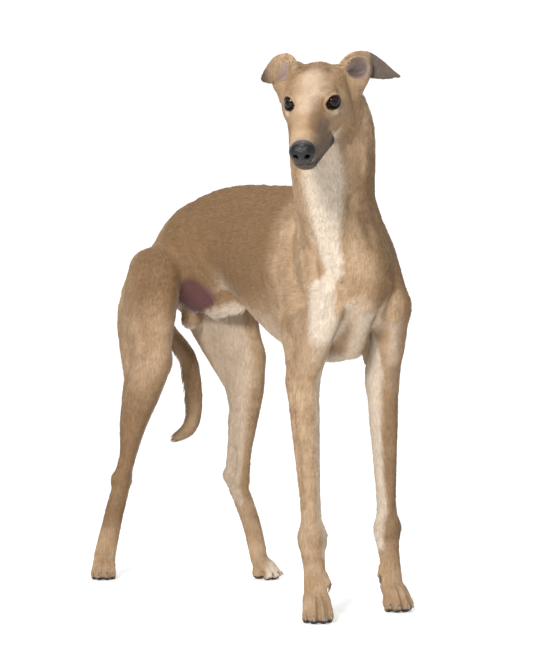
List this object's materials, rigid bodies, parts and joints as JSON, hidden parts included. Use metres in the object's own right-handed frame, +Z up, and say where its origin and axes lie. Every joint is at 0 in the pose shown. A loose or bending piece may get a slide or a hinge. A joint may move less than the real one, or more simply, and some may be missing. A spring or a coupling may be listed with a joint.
{
  "type": "greyhound",
  "caption": "Life-size still model of a short-coated fawn greyhound standing alert with its head turned, ears folded back and tail hanging between its thighs.",
  "frame": {"origin": "centre of the bounding box in plan, at the floor the four paws stand on", "axes": "+Z up, the pelvis faces -Y, the dog's left side is towards +X; the chest and head turn to the dog's right"},
  "size_m": [0.4001, 0.926, 0.9259],
  "materials": {
    "coat": "short flat fawn fur",
    "ear": "thin velvety grey-brown fur",
    "nose": "moist black leather",
    "lip": "short grey-black fur",
    "eye": "wet dark brown",
    "claw": "dark horn"
  },
  "bodies": {
    "root": {"claw_fore_left_1": "claw", "claw_fore_left_2": "claw", "claw_fore_left_3": "claw", "claw_fore_left_4": "claw", "claw_fore_right_1": "claw", "claw_fore_right_2": "claw", "claw_fore_right_3": "claw", "claw_fore_right_4": "claw", "claw_hind_left_1": "claw", "claw_hind_left_2": "claw", "claw_hind_left_3": "claw", "claw_hind_left_4": "claw", "claw_hind_right_1": "claw", "claw_hind_right_2": "claw", "claw_hind_right_3": "claw", "claw_hind_right_4": "claw", "dewclaw_left": "claw", "dewclaw_right": "claw", "ear_left": "ear", "ear_right": "ear", "eye_left": "eye", "eye_right": "eye", "fore_left_forearm": "coat", "fore_left_pastern": "coat", "fore_left_paw": "coat", "fore_left_upper": "coat", "fore_right_forearm": "coat", "fore_right_pastern": "coat", "fore_right_paw": "coat", "fore_right_upper": "coat", "head": "coat", "hind_left_hock": "coat", "hind_left_lower_leg": "coat", "hind_left_paw": "coat", "hind_left_thigh": "coat", "hind_right_hock": "coat", "hind_right_lower_leg": "coat", "hind_right_paw": "coat", "hind_right_thigh": "coat", "jaw": "lip", "neck": "coat", "nose": "nose", "tail_base": "coat", "tail_middle": "coat", "tail_tip": "coat", "torso": "coat"}
  },
  "joints": []
}
